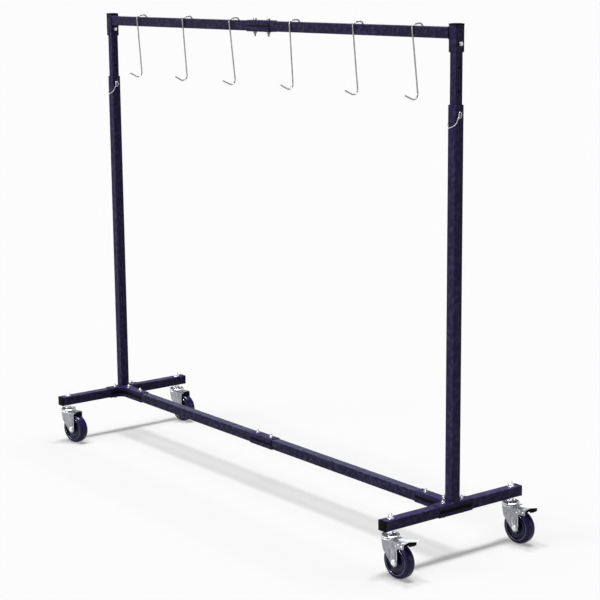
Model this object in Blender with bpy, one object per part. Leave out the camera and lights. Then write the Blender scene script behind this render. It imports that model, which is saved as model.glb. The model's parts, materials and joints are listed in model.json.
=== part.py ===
"""Rolling, height-adjustable tack rack with six loose wire hooks.

Metres, +Z up. The floor is Z = 0, +X runs along the top bar, +Y runs along the feet.
Every piece hangs from one empty, the rack's middle, which stands a little to -X of the
origin, so that the origin is under the middle of the whole object with its trailing casters.
"""
import math

import bmesh
import bpy
from mathutils import Vector

# Square tubes
TUBE = 0.040
WALL = 0.0015
TUBE_CORNER = 0.003
INNER_TUBE = 0.0325
GAP = 0.0003

# Overall frame
POST_X = 1.143
FOOT_HALF = 0.341
BASE_Z = 0.192
TOP_BAR_Z = 1.9177
LOWER_POST_TOP = 1.668
BASE_SPLICE_X = -0.019
TOP_SPLICE_X = -0.001

# Height adjustment
PIN_Z = 1.6328
HOLE_PITCH = 0.0826
HOLES_BELOW = 2
HOLES_ABOVE = 3
PIN_HOLE = 0.0043
INNER_POST_BOTTOM = 1.403
INNER_POST_TOP = 1.918
SLEEVE_BOTTOM = 1.851
SLEEVE_TOP = 1.9455

# Plastic caps
CAP_PLATE = 0.005
CAP_LIP = 0.0006
CAP_PLUG = 0.014
CAP_BEVEL = 0.0012

# Pressed clamp shells
SHEET = 0.0025
SHELL_SPLIT = 0.003
TOP_SPLIT = 0.0015
TEE_HEAD_HALF = 0.082
TEE_LEG = 0.186
TEE_FILLET = 0.028
SPLICE_HALF = 0.076
SPLICE_BOLT = 0.046
TEE_BOLTS = ((0.0, 0.046), (0.0, -0.046), (0.046, 0.0), (0.147, 0.0))

# M8 bolts
BOLT_R = 0.004
BOLT_HOLE = 0.0043
HEX_FLATS = 0.013
HEAD_HEIGHT = 0.0065
NUT_HEIGHT = 0.0068
WASHER_R = 0.0082
WASHER = 0.0016
BOLT_END = 0.006
LONG_BOLT_END = 0.011

# Casters, measured from the swivel axis at floor level
CASTER_Y = 0.300
WHEEL_R = 0.065
WHEEL_HALF = 0.019
HUB_HALF = 0.0214
TRAIL = 0.046
AXLE_R = 0.006
STEM_R = 0.006
STEM_HOLE = 0.0063
RACE_R = 0.0335
UPPER_RACE_Z = 0.1465
LOWER_RACE_TOP = 0.1457
CROWN_TOP = 0.1440
CROWN_SHEET = 0.003
FORK_HALF = 0.0245
LEG_SHEET = 0.0025
LEG_END_R = 0.0165

# Brake pedals
PEDAL_PIVOT = (0.075, 0.136)
PEDAL_TIP = 0.148
PEDAL_HALF = 0.015

# Where each caster points at rest: its trail, in degrees from +X towards +Y
SWIVELS = {"left_front": 12.0, "left_rear": 9.0, "right_front": 3.0, "right_rear": 4.0}

# Hooks
HOOK_WIRE = 0.003
HOOK_LEG_Y = 0.0254
HOOK_TOP = 0.0285
HOOK_CORNER = 0.015
HOOK_BACK = 0.008
HOOK_SHANK = 0.218
HOOK_J = 0.020
HOOK_TIP = 0.034
HOOK_TIP_RISE = 31.0
# Place along the bar from the rack's middle, and the angle at which each one hangs
HOOKS = ((-0.892, 4.2), (-0.533, 4.2), (-0.189, 6.1), (0.217, 3.4), (0.606, 5.5), (0.940, 6.8))

# The wire bail of a lock pin, as places along its route from the pin's middle
BAIL_WIRE = 0.00125
BAIL_ROUTE = (
    (0.0226, 0.000, -0.003), (0.0236, -0.0105, -0.010), (0.0226, -0.0205, -0.021),
    (0.0158, -0.0237, -0.032), (0.0010, -0.0237, -0.043), (-0.0126, -0.0237, -0.049),
    (-0.0215, -0.0215, -0.046), (-0.0239, -0.0158, -0.034), (-0.0239, -0.0084, -0.017),
    (-0.0239, -0.0021, -0.002),
)

LEFT, RIGHT = -1, 1
ENDS = (("left", LEFT), ("right", RIGHT))
SIDES = (("front", -1), ("rear", 1))
SLEEVE_BOLT_REACH = TUBE / 2 + GAP + WASHER + NUT_HEIGHT + BOLT_END
PEDAL_REACH = max(PEDAL_TIP * math.cos(math.radians(SWIVELS[tag])) + PEDAL_HALF * math.sin(math.radians(SWIVELS[tag]))
                  for tag in ("right_front", "right_rear"))
MID_X = -(PEDAL_REACH - SLEEVE_BOLT_REACH) / 2


# ---------------------------------------------------------------- materials

def material(name, colour, roughness, metallic):
    made = bpy.data.materials.new(name)
    made.use_nodes = True
    shader = made.node_tree.nodes["Principled BSDF"]
    shader.inputs["Base Color"].default_value = (*colour, 1.0)
    shader.inputs["Roughness"].default_value = roughness
    shader.inputs["Metallic"].default_value = metallic
    return made


# ---------------------------------------------------------------- meshes

def finish_mesh(name, shape, smooth_angle=math.radians(35)):
    bmesh.ops.recalc_face_normals(shape, faces=shape.faces)
    mesh = bpy.data.meshes.new(name)
    shape.to_mesh(mesh)
    shape.free()
    mesh.shade_smooth()
    mesh.set_sharp_from_angle(angle=smooth_angle)
    return mesh


def loops_mesh(name, loops, closed=False):
    """Skin equal rings of points, with flat ends or, when closed, joined end to end."""
    shape = bmesh.new()
    rings = [[shape.verts.new(point) for point in loop] for loop in loops]
    pairs = list(zip(rings, rings[1:]))
    if closed:
        pairs.append((rings[-1], rings[0]))
    else:
        shape.faces.new(rings[0])
        shape.faces.new(rings[-1])
    count = len(rings[0])
    for low, high in pairs:
        for i in range(count):
            j = (i + 1) % count
            shape.faces.new((low[i], low[j], high[j], high[i]))
    return finish_mesh(name, shape)


def rounded_square(side, corner, steps=2):
    centre = side / 2 - corner
    points = []
    for quarter in range(4):
        start = quarter * math.pi / 2
        cx = centre * (1 if quarter in (0, 3) else -1)
        cy = centre * (1 if quarter in (0, 1) else -1)
        for step in range(steps + 1):
            angle = start + step / steps * math.pi / 2
            points.append((cx + corner * math.cos(angle), cy + corner * math.sin(angle)))
    return points


def tube_mesh(name, side, length, wall=WALL):
    """A hollow square tube along local Z, from 0 to its length."""
    outer = rounded_square(side, TUBE_CORNER)
    inner = rounded_square(side - 2 * wall, TUBE_CORNER - wall)
    loops = [[(x, y, z) for x, y in ring]
             for ring, z in ((outer, 0), (outer, length), (inner, length), (inner, 0))]
    return loops_mesh(name, loops, closed=True)


def turned_mesh(name, profile, sides, closed=False):
    """Turn (height, radius) steps about local Z. A third value, "hex", makes that step a hexagon."""
    loops = []
    for height, radius, *kind in profile:
        loop = []
        for i in range(sides):
            angle = 2 * math.pi * i / sides
            from_flat = angle % (math.pi / 3) - math.pi / 6
            reach = radius / math.cos(from_flat) if kind else radius
            loop.append((reach * math.cos(angle), reach * math.sin(angle), height))
        loops.append(loop)
    return loops_mesh(name, loops, closed)


def prism_mesh(name, outline, low, high, flat_in="XY"):
    """Extrude an outline drawn in the XY or the XZ plane from low to high."""
    def lift(u, v, w):
        return (u, v, w) if flat_in == "XY" else (u, w, v)
    return loops_mesh(name, [[lift(u, v, w) for u, v in outline] for w in (low, high)])


def arc(centre, radius, start, end, steps):
    """Points on a circle in a plane, between two angles in degrees."""
    return [(centre[0] + radius * math.cos(math.radians(start + (end - start) * i / steps)),
             centre[1] + radius * math.sin(math.radians(start + (end - start) * i / steps)))
            for i in range(steps + 1)]


def rod_mesh(name, path, radius, sides=8):
    """A round wire along a path, its rings carried along without twist."""
    points = [Vector(p) for p in path]
    heading = (points[1] - points[0]).normalized()
    side = heading.orthogonal().normalized()
    loops = []
    for i, point in enumerate(points):
        before = points[max(i - 1, 0)]
        after = points[min(i + 1, len(points) - 1)]
        turn = heading.rotation_difference((after - before).normalized())
        heading, side = turn @ heading, turn @ side
        across = heading.cross(side)
        loops.append([point + radius * (math.cos(a) * side + math.sin(a) * across)
                      for a in (2 * math.pi * k / sides for k in range(sides))])
    return loops_mesh(name, loops)


def smooth_route(places, steps):
    """Points on a smooth curve through the given places."""
    ends = [places[0], *places, places[-1]]
    route = []
    for a, b, c, d in zip(ends, ends[1:], ends[2:], ends[3:]):
        for step in range(steps):
            t = step / steps
            route.append(tuple(
                0.5 * (2 * q + (r - p) * t + (2 * p - 5 * q + 4 * r - s) * t ** 2
                       + (3 * q - p - 3 * r + s) * t ** 3)
                for p, q, r, s in zip(a, b, c, d)))
    route.append(places[-1])
    return route


# ---------------------------------------------------------------- objects

def put(name, mesh, parent, location=(0, 0, 0), rotation=(0, 0, 0), finish=None):
    thing = bpy.data.objects.new(name, mesh)
    bpy.context.scene.collection.objects.link(thing)
    thing.parent = parent
    thing.location = location
    thing.rotation_euler = rotation
    if finish and mesh and not mesh.materials:
        mesh.materials.append(finish)
    return thing


def boolean(target, tool, operation):
    step = target.modifiers.new(operation.title(), "BOOLEAN")
    step.operation = operation
    step.object = tool
    tool.hide_render = True
    tool.display_type = "WIRE"


def drill(target, parent, places, radius, depth, along="Z"):
    """Cut eight-sided holes, centred on places in the parent's space, that clear a round bar of radius."""
    shape = bmesh.new()
    sides = 8
    reach = radius / math.cos(math.pi / sides)
    for x, y, z in places:
        rings = []
        for end in (-depth / 2, depth / 2):
            ring = []
            for i in range(sides):
                u = reach * math.cos(2 * math.pi * i / sides)
                v = reach * math.sin(2 * math.pi * i / sides)
                spot = (x + u, y + v, z + end) if along == "Z" else (x + end, y + u, z + v)
                ring.append(shape.verts.new(spot))
            rings.append(ring)
            shape.faces.new(ring)
        for i in range(sides):
            j = (i + 1) % sides
            shape.faces.new((rings[0][i], rings[0][j], rings[1][j], rings[1][i]))
    tool = put("drill_" + target.name, finish_mesh("drill", shape), parent)
    boolean(target, tool, "DIFFERENCE")


def bolt_mesh(grip, thread=BOLT_END):
    """A hexagon bolt with two washers and its nut, head below and nut above, as one solid."""
    half = grip / 2
    flats = HEX_FLATS / 2
    head = half + WASHER
    nut = head + NUT_HEIGHT
    return turned_mesh("bolt", (
        (-head - HEAD_HEIGHT, flats, "hex"), (-head, flats, "hex"), (-head, WASHER_R), (-half, WASHER_R),
        (-half, BOLT_R), (half, BOLT_R), (half, WASHER_R), (head, WASHER_R), (head, flats, "hex"),
        (nut, flats, "hex"), (nut, BOLT_R), (nut + thread, BOLT_R)), 12)


def cap_mesh():
    """A square plastic cap lying on its tube end at local Z = 0, with its plug below."""
    plug = TUBE - 2 * WALL - 2 * GAP
    corner = TUBE_CORNER
    plate = TUBE + 2 * CAP_LIP
    rings = ((-CAP_PLUG, plug, corner - WALL), (GAP, plug, corner - WALL), (GAP, plate, corner),
             (CAP_PLATE - CAP_BEVEL, plate, corner), (CAP_PLATE, plate - 2 * CAP_BEVEL, corner - CAP_BEVEL))
    return loops_mesh("cap", [[(x, y, z) for x, y in rounded_square(side, r)] for z, side, r in rings])


def tee_outline(half, head_half, leg, fillet):
    """A T seen from above: the head runs along Y, the leg along +X, its inner corners rounded."""
    near = half + fillet
    outline = [(-half, head_half), (-half, -head_half), (half, -head_half)]
    outline += arc((near, -near), fillet, 180, 90, 6)
    outline += [(leg, -half), (leg, half)]
    outline += arc((near, near), fillet, 270, 180, 6)
    outline += [(half, head_half)]
    return outline


# ---------------------------------------------------------------- base

SHELL_IN = TUBE / 2 + GAP
SHELL_OUT = SHELL_IN + SHEET
CLAMP_GRIP = 2 * (SHELL_OUT + GAP)


def clamp_shells(rack, steel):
    """Upper and lower pressed T shells round each foot and its end of the base beam."""
    past_end = 0.004
    outer = prism_mesh("tee_shell", tee_outline(SHELL_OUT, TEE_HEAD_HALF, TEE_LEG, TEE_FILLET),
                       SHELL_SPLIT, SHELL_OUT)
    hollow = prism_mesh("tee_hollow", tee_outline(SHELL_IN, TEE_HEAD_HALF + past_end,
                                                  TEE_LEG + past_end, TEE_FILLET + SHEET), -0.01, SHELL_IN)
    for end, sign in ENDS:
        facing = 0 if sign == LEFT else math.pi
        for level, turned_over in (("upper", 0), ("lower", math.pi)):
            shell = put(f"tee_shell_{level}_{end}", outer, rack, (sign * POST_X, 0, BASE_Z),
                        (turned_over, 0, facing), steel)
            boolean(shell, put(f"hollow_{level}_{end}", hollow, shell), "DIFFERENCE")
            drill(shell, shell, [(x, y, SHELL_OUT) for x, y in TEE_BOLTS], BOLT_HOLE, 0.02)


def feet(rack, steel, plastic):
    body = tube_mesh("foot", TUBE, 2 * (FOOT_HALF - CAP_PLATE))
    cap = cap_mesh()
    for end, sign in ENDS:
        x = sign * POST_X
        foot = put(f"foot_tube_{end}", body, rack, (x, FOOT_HALF - CAP_PLATE, BASE_Z), (math.pi / 2, 0, 0),
                   steel)
        bolts = [(x, y, BASE_Z) for along, y in TEE_BOLTS if along == 0]
        stems = [(x, side * CASTER_Y, BASE_Z) for _, side in SIDES]
        drill(foot, rack, bolts, BOLT_HOLE, 2 * TUBE)
        drill(foot, rack, stems, STEM_HOLE, 2 * TUBE)
        for name, side in SIDES:
            put(f"foot_cap_{end}_{name}", cap, rack, (x, side * (FOOT_HALF - CAP_PLATE), BASE_Z),
                (-side * math.pi / 2, 0, 0), plastic)


def splice_shell_mesh(split):
    """A pressed U channel along X, its web above and its flanges down."""
    profile = [(-SHELL_OUT, split), (-SHELL_OUT, SHELL_OUT), (SHELL_OUT, SHELL_OUT), (SHELL_OUT, split),
               (SHELL_IN, split), (SHELL_IN, SHELL_IN), (-SHELL_IN, SHELL_IN), (-SHELL_IN, split)]
    return loops_mesh("splice", [[(x, y, z) for y, z in profile] for x in (-SPLICE_HALF, SPLICE_HALF)])


def splice(rack, name, middle_x, z, split, bolt, steel, zinc, heads_up):
    """Two channels and two bolts over the joint between two tubes."""
    channel = splice_shell_mesh(split)
    for level, turned_over in (("upper", 0), ("lower", math.pi)):
        shell = put(f"{name}_splice_{level}", channel, rack, (middle_x, 0, z), (turned_over, 0, 0), steel)
        drill(shell, shell, [(side * SPLICE_BOLT, 0, SHELL_OUT) for side in (LEFT, RIGHT)], BOLT_HOLE, 0.02)
    for end, sign in ENDS:
        put(f"{name}_splice_bolt_{end}", bolt, rack, (middle_x + sign * SPLICE_BOLT, 0, z),
            (math.pi if heads_up else 0, 0, 0), zinc)


def base_beam(rack, steel):
    for end, sign in ENDS:
        outer_end = sign * (POST_X - TUBE / 2 - GAP)
        inner_end = BASE_SPLICE_X + sign * GAP
        start = min(outer_end, inner_end)
        beam = put(f"base_beam_{end}", tube_mesh("beam", TUBE, abs(outer_end - inner_end)), rack,
                   (start, 0, BASE_Z), (0, math.pi / 2, 0), steel)
        holes = [sign * (POST_X - along) for along, _ in TEE_BOLTS if along]
        holes.append(BASE_SPLICE_X + sign * SPLICE_BOLT)
        drill(beam, rack, [(x, 0, BASE_Z) for x in holes], BOLT_HOLE, 2 * TUBE)


def clamp_bolts(rack, zinc):
    bolt = bolt_mesh(CLAMP_GRIP)
    names = ("foot_rear", "foot_front", "beam_near", "beam_far")
    for end, sign in ENDS:
        for name, (along, across) in zip(names, TEE_BOLTS):
            put(f"tee_bolt_{name}_{end}", bolt, rack, (sign * (POST_X - along), across, BASE_Z), finish=zinc)


def lower_posts(rack, steel):
    bottom = BASE_Z + SHELL_OUT + GAP
    body = tube_mesh("lower_post", TUBE, LOWER_POST_TOP - bottom)
    for end, sign in ENDS:
        post = put(f"lower_post_{end}", body, rack, (sign * POST_X, 0, bottom), finish=steel)
        drill(post, rack, [(sign * POST_X, 0, PIN_Z)], PIN_HOLE, 2 * TUBE, "X")


# ---------------------------------------------------------------- upper frame

def inner_posts(rack, steel):
    body = tube_mesh("inner_post", INNER_TUBE, INNER_POST_TOP - INNER_POST_BOTTOM)
    for end, sign in ENDS:
        post = put(f"inner_post_{end}", body, rack, (sign * POST_X, 0, INNER_POST_BOTTOM), finish=steel)
        heights = [PIN_Z + step * HOLE_PITCH for step in range(-HOLES_BELOW, HOLES_ABOVE + 1)]
        drill(post, rack, [(sign * POST_X, 0, z) for z in heights], PIN_HOLE, 2 * TUBE, "X")


def top_bars(rack, steel, plastic, zinc):
    """Each half of the bar is welded to the sleeve that stands over its inner post."""
    sleeve_mesh = tube_mesh("sleeve", TUBE, SLEEVE_TOP - SLEEVE_BOTTOM)
    bolt = bolt_mesh(TUBE + 2 * GAP)
    bolt_z = PIN_Z + HOLES_ABOVE * HOLE_PITCH
    weld_bite = WALL / 2
    for end, sign in ENDS:
        outer_end = sign * (POST_X - TUBE / 2 + weld_bite)
        inner_end = TOP_SPLICE_X + sign * GAP
        bar = put(f"top_bar_{end}", tube_mesh("top_bar", TUBE, abs(outer_end - inner_end)), rack,
                  (min(outer_end, inner_end), 0, TOP_BAR_Z), (0, math.pi / 2, 0), steel)
        sleeve = put(f"sleeve_{end}", sleeve_mesh, rack, (sign * POST_X, 0, SLEEVE_BOTTOM), finish=steel)
        boolean(bar, sleeve, "UNION")
        drill(bar, rack, [(TOP_SPLICE_X + sign * SPLICE_BOLT, 0, TOP_BAR_Z)], BOLT_HOLE, 2 * TUBE)
        bore = put(f"sleeve_bore_{end}", turned_mesh("bore", (
            (-TUBE, BOLT_HOLE), (TUBE, BOLT_HOLE)), 12), rack, (sign * POST_X, 0, bolt_z), (0, math.pi / 2, 0))
        boolean(bar, bore, "DIFFERENCE")
        put(f"sleeve_bolt_{end}", bolt, rack, (sign * POST_X, 0, bolt_z), (0, -math.pi / 2, 0), zinc)
        put(f"sleeve_cap_{end}", cap_mesh(), rack, (sign * POST_X, 0, SLEEVE_TOP), finish=plastic)


def hook_path():
    """The hook's centre line in its own YZ plane, about the middle of the bar."""
    bend_y = HOOK_LEG_Y - HOOK_CORNER
    bend_z = HOOK_TOP - HOOK_CORNER
    rise = math.radians(HOOK_TIP_RISE)
    line = [(HOOK_LEG_Y, -HOOK_BACK)]
    line += arc((bend_y, bend_z), HOOK_CORNER, 0, 90, 5)
    line += arc((-bend_y, bend_z), HOOK_CORNER, 90, 180, 5)
    line += arc((-HOOK_LEG_Y - HOOK_J, -HOOK_SHANK), HOOK_J, 0, -90 - HOOK_TIP_RISE, 7)
    y, z = line[-1]
    line.append((y - HOOK_TIP * math.cos(rise), z + HOOK_TIP * math.sin(rise)))
    return [(0, y, z) for y, z in line]


def hooks(rack, wire):
    body = rod_mesh("hook", hook_path(), HOOK_WIRE)
    for number, (x, lean) in enumerate(HOOKS, 1):
        put(f"hook_{number}", body, rack, (x, 0, TOP_BAR_Z), (math.radians(lean), 0, 0), wire)


def lock_pins(rack, zinc):
    """Head, tip and the bail that joins them round the post."""
    wall_in, wall_out = TUBE / 2 - WALL, TUBE / 2
    pin_r, head_r, head = 0.0039, 0.0065, 0.0045
    flush = 0.0001
    head_mesh = turned_mesh("pin_head", (
        (wall_in + flush, pin_r), (wall_out + GAP, pin_r), (wall_out + GAP, head_r),
        (wall_out + head - 0.001, head_r), (wall_out + head, head_r - 0.0015)), 12)
    tip_mesh = turned_mesh("pin_tip", (
        (-wall_in - flush, pin_r), (-wall_out - 0.005, pin_r), (-wall_out - 0.0065, pin_r - 0.0015)), 12)
    bail = rod_mesh("bail", smooth_route(BAIL_ROUTE, 2), BAIL_WIRE, 6)
    for end, sign in ENDS:
        pin = put(f"lock_pin_{end}", bail.copy(), rack, (sign * POST_X, 0, PIN_Z), finish=zinc)
        for part, mesh in (("head", head_mesh), ("tip", tip_mesh)):
            tool = put(f"pin_{part}_{end}", mesh, pin, rotation=(0, math.pi / 2, 0))
            boolean(pin, tool, "UNION")


# ---------------------------------------------------------------- casters

def stem_mesh():
    """Upper race, spacer, nuts and threaded stem, from below the foot tube to above it."""
    tube_low = BASE_Z - TUBE / 2 - GAP
    tube_high = BASE_Z + TUBE / 2 + GAP
    return turned_mesh("caster_stem", (
        (UPPER_RACE_Z, RACE_R - 0.003), (UPPER_RACE_Z + 0.001, RACE_R), (UPPER_RACE_Z + 0.006, RACE_R),
        (UPPER_RACE_Z + 0.009, RACE_R - 0.006), (UPPER_RACE_Z + 0.010, 0.015),
        (UPPER_RACE_Z + 0.012, 0.008), (tube_low - 0.010, 0.008), (tube_low - 0.010, 0.0105, "hex"),
        (tube_low, 0.0105, "hex"), (tube_low, STEM_R), (tube_high, STEM_R), (tube_high, 0.013),
        (tube_high + 0.002, 0.013), (tube_high + 0.002, 0.0095, "hex"), (tube_high + 0.012, 0.0095, "hex"),
        (tube_high + 0.012, STEM_R), (tube_high + 0.019, STEM_R)), 12)


def wheel_mesh():
    """Tread, shoulders, side recesses, hub and bore, turned about the axle."""
    half = ((0.0063, HUB_HALF), (0.0140, HUB_HALF), (0.0155, 0.0120), (0.0440, 0.0120), (0.0485, WHEEL_HALF),
            (0.0585, WHEEL_HALF), (WHEEL_R, WHEEL_HALF - 0.0085))
    profile = [(z, r) for r, z in half] + [(-z, r) for r, z in reversed(half)]
    return turned_mesh("wheel", profile, 24, closed=True)


def leg_outline(with_housing):
    """A fork leg seen from the side: round end at the axle, slanted front edge, upright back edge."""
    back = TRAIL + LEG_END_R
    outline = arc((TRAIL, WHEEL_R), LEG_END_R, 215, 360, 6)
    if with_housing:
        outline += [(back, 0.113), (back + 0.003, 0.119), (back + 0.010, 0.122), (0.101, 0.1245),
                    (0.101, CROWN_TOP + 0.001), (0.050, CROWN_TOP + 0.001), (0.046, CROWN_TOP)]
    else:
        outline += [(back + 0.002, CROWN_TOP)]
    outline += [(-0.022, CROWN_TOP), (-0.0225, CROWN_TOP - 0.007), (-0.015, 0.104)]
    return outline


def fork_parts(with_housing):
    """The meshes that make a fork: the near leg, and what is joined to it."""
    outline = leg_outline(with_housing)
    inner = FORK_HALF - LEG_SHEET
    crown_back = 0.046 if with_housing else TRAIL + LEG_END_R + 0.002
    crown = [(-0.022, -FORK_HALF), (crown_back, -FORK_HALF), (crown_back, FORK_HALF), (-0.022, FORK_HALF)]
    parts = [
        prism_mesh("leg_near", outline, -FORK_HALF, -inner, "XZ"),
        prism_mesh("leg_far", outline, inner, FORK_HALF, "XZ"),
        prism_mesh("crown", crown, CROWN_TOP - CROWN_SHEET, CROWN_TOP - 0.0002),
        turned_mesh("lower_race", ((CROWN_TOP - 0.002, RACE_R - 0.002), (CROWN_TOP, RACE_R),
                                   (LOWER_RACE_TOP, RACE_R - 0.001)), 16),
    ]
    if not with_housing:
        block = [(0.060, 0.1290), (0.0755, 0.1280), (0.0765, 0.1400), (0.0745, 0.1470), (0.066, 0.1470),
                 (0.060, 0.1425)]
        parts.append(prism_mesh("bump_block", block, -0.0110, 0.0110, "XZ"))
    return parts


def axle_mesh():
    head = FORK_HALF + 0.0065
    flats = 0.0085
    return turned_mesh("axle", (
        (-head, flats - 0.001), (-head + 0.001, flats, "hex"), (-FORK_HALF + 0.0002, flats, "hex"),
        (-FORK_HALF + 0.0002, AXLE_R), (FORK_HALF - 0.0002, AXLE_R), (FORK_HALF - 0.0002, flats, "hex"),
        (head - 0.001, flats, "hex"), (head, flats - 0.001)), 12)


def pedal_parts():
    """The pedal plate, its web down to the pivot, the pivot barrel and the block under its tip."""
    sheet = 0.0026
    top = ((0.053, 0.1505), (0.080, 0.1520), (0.112, 0.1575), (PEDAL_TIP, 0.1675))
    under = tuple((x, z - sheet) for x, z in reversed(top))
    web = ((0.062, 0.1500), (0.066, 0.1320), (0.084, 0.1320), (0.092, 0.1530))
    block = ((0.095, 0.1530), (0.097, 0.1375), (0.122, 0.1425), (0.129, 0.1460), (0.130, 0.1615))
    barrel_half = FORK_HALF - LEG_SHEET - GAP
    px, pz = PEDAL_PIVOT
    return [
        (prism_mesh("plate", [*top, *under], -PEDAL_HALF, PEDAL_HALF, "XZ"), (-px, 0, -pz), (0, 0, 0)),
        (prism_mesh("web", web, -0.011, 0.011, "XZ"), (-px, 0, -pz), (0, 0, 0)),
        (prism_mesh("block", block, -0.0130, 0.0130, "XZ"), (-px, 0, -pz), (0, 0, 0)),
        (turned_mesh("barrel", ((-barrel_half, 0.0052), (barrel_half, 0.0052)), 12), (0, 0, 0),
         (math.pi / 2, 0, 0)),
    ]


def join_parts(name, parts, parent, location, finish):
    """Union several meshes, each with its own place, into one object."""
    body = put(name, parts[0][0].copy(), parent, location, finish=finish)
    first = parts[0][1]
    for vertex in body.data.vertices:
        vertex.co = [c + shift for c, shift in zip(vertex.co, first)]
    for number, (mesh, shift, turn) in enumerate(parts[1:], 1):
        boolean(body, put(f"join_{name}_{number}", mesh, body, shift, turn), "UNION")
    return body


def casters(rack, zinc, rubber):
    stem = stem_mesh()
    wheel = wheel_mesh()
    upright = (math.pi / 2, 0, 0)
    for end, sign in ENDS:
        with_housing = sign == RIGHT
        for name, side in SIDES:
            tag = f"{end}_{name}"
            put(f"caster_stem_{tag}", stem, rack, (sign * POST_X, side * CASTER_Y, 0), finish=zinc)
            swivel = put(f"swivel_{tag}", None, rack, (sign * POST_X, side * CASTER_Y, 0),
                         (0, 0, math.radians(SWIVELS[tag])))
            parts = [(mesh, (0, 0, 0), (0, 0, 0)) for mesh in fork_parts(with_housing)]
            parts.append((axle_mesh(), (TRAIL, 0, WHEEL_R), upright))
            join_parts(f"caster_fork_{tag}", parts, swivel, (0, 0, 0), zinc)
            put(f"wheel_{tag}", wheel, swivel, (TRAIL, 0, WHEEL_R), upright, rubber)
            if with_housing:
                px, pz = PEDAL_PIVOT
                join_parts(f"brake_pedal_{tag}", pedal_parts(), swivel, (px, 0, pz), zinc)


# ---------------------------------------------------------------- assembly

def build():
    for thing in list(bpy.data.objects):
        bpy.data.objects.remove(thing, do_unlink=True)
    steel = material("powder_coat", (0.030, 0.027, 0.055), 0.42, 0.0)
    zinc = material("zinc_plate", (0.62, 0.62, 0.66), 0.28, 1.0)
    wire = material("hook_wire", (0.42, 0.42, 0.46), 0.35, 1.0)
    plastic = material("black_plastic", (0.010, 0.010, 0.012), 0.50, 0.0)
    rubber = material("black_rubber", (0.015, 0.014, 0.020), 0.55, 0.0)
    rack = put("rack_middle", None, None, (MID_X, 0, 0))
    feet(rack, steel, plastic)
    clamp_shells(rack, steel)
    base_beam(rack, steel)
    clamp_bolts(rack, zinc)
    splice(rack, "base", BASE_SPLICE_X, BASE_Z, SHELL_SPLIT, bolt_mesh(CLAMP_GRIP), steel, zinc, False)
    lower_posts(rack, steel)
    inner_posts(rack, steel)
    top_bars(rack, steel, plastic, zinc)
    splice(rack, "top", TOP_SPLICE_X, TOP_BAR_Z, TOP_SPLIT, bolt_mesh(CLAMP_GRIP, LONG_BOLT_END), steel, zinc,
           True)
    hooks(rack, wire)
    lock_pins(rack, zinc)
    casters(rack, zinc, rubber)


build()
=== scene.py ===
"""Looks for the rolling tack rack: welded square tube, pressed clamps, zinc fittings, wire hooks and casters.

Every piece is built in the frame's own metres and rides on the body whose CAD nodes it stands for.
"""
import json
import math

import bmesh
import bpy
from mathutils import Matrix, Vector


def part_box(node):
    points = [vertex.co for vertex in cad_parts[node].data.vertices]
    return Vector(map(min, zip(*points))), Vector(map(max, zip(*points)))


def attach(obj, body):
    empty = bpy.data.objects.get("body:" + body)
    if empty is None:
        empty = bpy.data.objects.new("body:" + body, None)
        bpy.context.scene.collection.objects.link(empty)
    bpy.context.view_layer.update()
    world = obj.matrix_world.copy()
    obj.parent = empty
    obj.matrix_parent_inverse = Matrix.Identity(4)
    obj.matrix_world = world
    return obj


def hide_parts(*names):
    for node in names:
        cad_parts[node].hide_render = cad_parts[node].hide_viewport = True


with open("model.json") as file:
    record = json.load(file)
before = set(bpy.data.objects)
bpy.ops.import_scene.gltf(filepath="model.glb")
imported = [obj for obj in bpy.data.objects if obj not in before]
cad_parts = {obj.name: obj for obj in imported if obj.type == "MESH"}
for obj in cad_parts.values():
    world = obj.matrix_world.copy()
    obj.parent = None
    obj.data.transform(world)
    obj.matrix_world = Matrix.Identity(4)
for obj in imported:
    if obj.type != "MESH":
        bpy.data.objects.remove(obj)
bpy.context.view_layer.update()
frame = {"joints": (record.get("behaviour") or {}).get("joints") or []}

# ------------ dimensions, in metres, with angles in degrees

# Square tube
WALL = 0.0015
CORNER = 0.003
CUT_CHAMFER = 0.0004
BOLT_HOLE = 0.0043
PIN_HOLE = 0.0045

# Pressed clamps
SHEET = 0.0025
SHEET_BEND = 0.0042
FIT_GAP = 0.0003
TEE_SLOT_ROOM = 0.0042
SPLICE_SLOT_ROOM = {"base": 0.003, "top": 0.0016}
TEE_FILLET = 0.028
WELD_LEG = 0.0032

# Black strips in the slots of the clamps: a painted shadow in the gap between the shells
SLOT_GAP = 0.0001
SLOT_DEEP = SHEET * 0.35
SLOT_LAP = 0.001

# M8 fasteners
BOLT_R = 0.00395
HEX_HALF = 0.0065
HEAD_HEIGHT = 0.0055
NUT_HEIGHT = 0.0065
WASHER_R = 0.0085
WASHER = 0.0016
PITCH = 0.00125
THREAD_DEPTH = 0.0006
RINGS_PER_TURN = 4
RUN_OUT_RINGS = 3

# End of a hexagon as (height, radius) in parts of half its width, out to just past its corners
HEX_WHOLE = 1.16
HEX_CHAMFER = ((0.0, 0.97), (0.04, 1.03), (0.075, 1.09), (0.11, HEX_WHOLE))

# Length of a drill, for a whole tube and for one side of a clamp
THROUGH = 0.06
THROUGH_SHEET = 0.02

# Hooks, about the middle of the bar, each one swung back by its own angle
HOOK_WIRE = 0.003
HOOK_LEG_Y = 0.0254
HOOK_TOP = 0.0285
HOOK_CORNER = 0.0165
HOOK_BACK = 0.008
HOOK_SHANK = 0.218
HOOK_J = 0.020
HOOK_TIP = 0.034
HOOK_TIP_RISE = 31.0
HOOK_LEANS = (4.2, 4.2, 6.1, 3.4, 5.5, 6.8)

# Height adjustment
HOLE_PITCH = 0.0826
HOLE_STEPS = range(-2, 4)
PIN_R = 0.0039
PIN_WIRE = 0.00125
PIN_EYE = 0.0072
PIN_EYE_HEIGHT = 0.0100

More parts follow.
